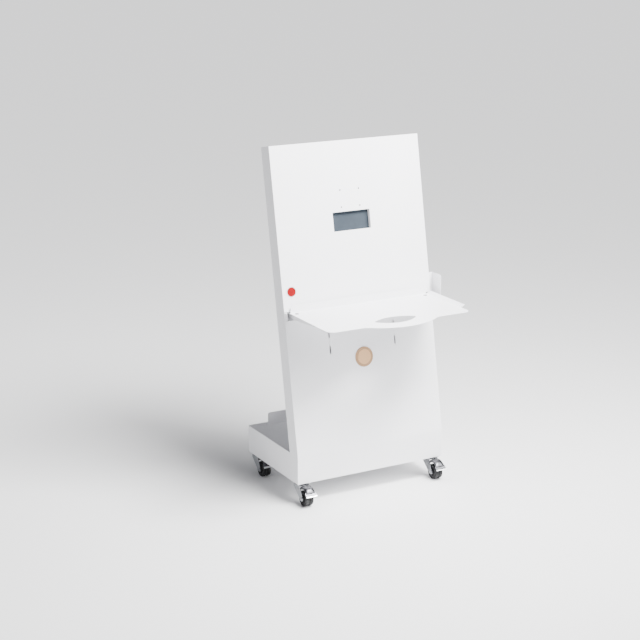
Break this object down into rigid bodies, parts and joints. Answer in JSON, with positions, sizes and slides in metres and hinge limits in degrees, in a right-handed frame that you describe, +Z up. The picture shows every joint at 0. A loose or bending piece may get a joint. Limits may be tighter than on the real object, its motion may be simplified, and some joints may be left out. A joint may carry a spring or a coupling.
{
  "type": "mobile display stand",
  "caption": "Sheet-steel display stand with a leaning column, a handled shelf, a base box and braked swivel casters.",
  "frame": {"origin": "on the floor under the middle of the base box, on the plane of symmetry", "axes": "+X to the right of someone facing the front, +Y towards the back, +Z up"},
  "size_m": [0.822, 0.8421, 1.6634],
  "materials": {
    "painted_sheet": "satin",
    "badge_red": "gloss",
    "zinc_screws": "satin",
    "beige_plastic": "matte",
    "caster_chrome": "bright",
    "black_plastic": "matte",
    "black_tyre": "matte"
  },
  "bodies": {
    "stand": {"front_strips": "painted_sheet", "left_side_plate": "painted_sheet", "right_side_plate": "painted_sheet", "upper_front_panel": "painted_sheet", "lower_front_panel": "painted_sheet", "top_cap": "painted_sheet", "recess_channel": "painted_sheet", "mount_plate": "painted_sheet", "window_pan": "painted_sheet", "window_back_plate": "painted_sheet", "badge": "badge_red", "lower_back_cover": "painted_sheet", "upper_back_cover": "painted_sheet", "back_cover_screws": "zinc_screws", "left_back_rail": "painted_sheet", "right_back_rail": "painted_sheet", "base_cover": "painted_sheet", "base_floor": "painted_sheet", "front_caster_beam": "painted_sheet", "rear_caster_beam": "painted_sheet", "rear_stop": "painted_sheet", "rear_stop_screws": "zinc_screws", "side_holder": "painted_sheet", "side_holder_screws": "zinc_screws", "shelf": "painted_sheet", "left_shelf_arm": "painted_sheet", "right_shelf_arm": "painted_sheet", "shelf_screws": "zinc_screws", "grommet_ring": "beige_plastic", "grommet_cap": "beige_plastic", "kingpins": "zinc_screws", "caster_bolts": "zinc_screws", "front_left_plate": "caster_chrome", "front_right_plate": "caster_chrome", "rear_left_plate": "caster_chrome", "rear_right_plate": "caster_chrome"},
    "front_left_caster": {"front_left_fork": "caster_chrome", "front_left_axle": "zinc_screws", "front_left_pedal_pin": "zinc_screws"},
    "front_left_wheel": {"front_left_core": "black_plastic", "front_left_tyre": "black_tyre"},
    "front_left_brake": {"front_left_pedal": "black_plastic"},
    "front_right_caster": {"front_right_fork": "caster_chrome", "front_right_axle": "zinc_screws", "front_right_pedal_pin": "zinc_screws"},
    "front_right_wheel": {"front_right_core": "black_plastic", "front_right_tyre": "black_tyre"},
    "front_right_brake": {"front_right_pedal": "black_plastic"},
    "rear_left_caster": {"rear_left_fork": "caster_chrome", "rear_left_axle": "zinc_screws", "rear_left_pedal_pin": "zinc_screws"},
    "rear_left_wheel": {"rear_left_core": "black_plastic", "rear_left_tyre": "black_tyre"},
    "rear_left_brake": {"rear_left_pedal": "black_plastic"},
    "rear_right_caster": {"rear_right_fork": "caster_chrome", "rear_right_axle": "zinc_screws", "rear_right_pedal_pin": "zinc_screws"},
    "rear_right_wheel": {"rear_right_core": "black_plastic", "rear_right_tyre": "black_tyre"},
    "rear_right_brake": {"rear_right_pedal": "black_plastic"}
  },
  "joints": [
    {"name": "front_left_swivel", "type": "hinge", "parent": "stand", "child": "front_left_caster", "pos_m": [-0.36, -0.2185, 0.107], "axis": [0, 0, 1], "continuous": true},
    {"name": "front_left_wheel_spin", "type": "hinge", "parent": "front_left_caster", "child": "front_left_wheel", "pos_m": [-0.36, -0.2665, 0.038], "axis": [1, 0, 0], "continuous": true},
    {"name": "front_left_brake_press", "type": "hinge", "parent": "front_left_caster", "child": "front_left_brake", "pos_m": [-0.36, -0.23753, 0.07937], "axis": [1, 0, 0], "range_deg": [0, 12]},
    {"name": "front_right_swivel", "type": "hinge", "parent": "stand", "child": "front_right_caster", "pos_m": [0.36, -0.2185, 0.107], "axis": [0, 0, 1], "continuous": true},
    {"name": "front_right_wheel_spin", "type": "hinge", "parent": "front_right_caster", "child": "front_right_wheel", "pos_m": [0.36, -0.2665, 0.038], "axis": [1, 0, 0], "continuous": true},
    {"name": "front_right_brake_press", "type": "hinge", "parent": "front_right_caster", "child": "front_right_brake", "pos_m": [0.36, -0.23753, 0.07937], "axis": [1, 0, 0], "range_deg": [0, 12]},
    {"name": "rear_left_swivel", "type": "hinge", "parent": "stand", "child": "rear_left_caster", "pos_m": [-0.36, 0.2185, 0.107], "axis": [0, 0, 1], "continuous": true},
    {"name": "rear_left_wheel_spin", "type": "hinge", "parent": "rear_left_caster", "child": "rear_left_wheel", "pos_m": [-0.36, 0.1705, 0.038], "axis": [1, 0, 0], "continuous": true},
    {"name": "rear_left_brake_press", "type": "hinge", "parent": "rear_left_caster", "child": "rear_left_brake", "pos_m": [-0.36, 0.19947, 0.07937], "axis": [1, 0, 0], "range_deg": [0, 12]},
    {"name": "rear_right_swivel", "type": "hinge", "parent": "stand", "child": "rear_right_caster", "pos_m": [0.36, 0.2185, 0.107], "axis": [0, 0, 1], "continuous": true},
    {"name": "rear_right_wheel_spin", "type": "hinge", "parent": "rear_right_caster", "child": "rear_right_wheel", "pos_m": [0.36, 0.1705, 0.038], "axis": [1, 0, 0], "continuous": true},
    {"name": "rear_right_brake_press", "type": "hinge", "parent": "rear_right_caster", "child": "rear_right_brake", "pos_m": [0.36, 0.19947, 0.07937], "axis": [1, 0, 0], "range_deg": [0, 12]}
  ]
}
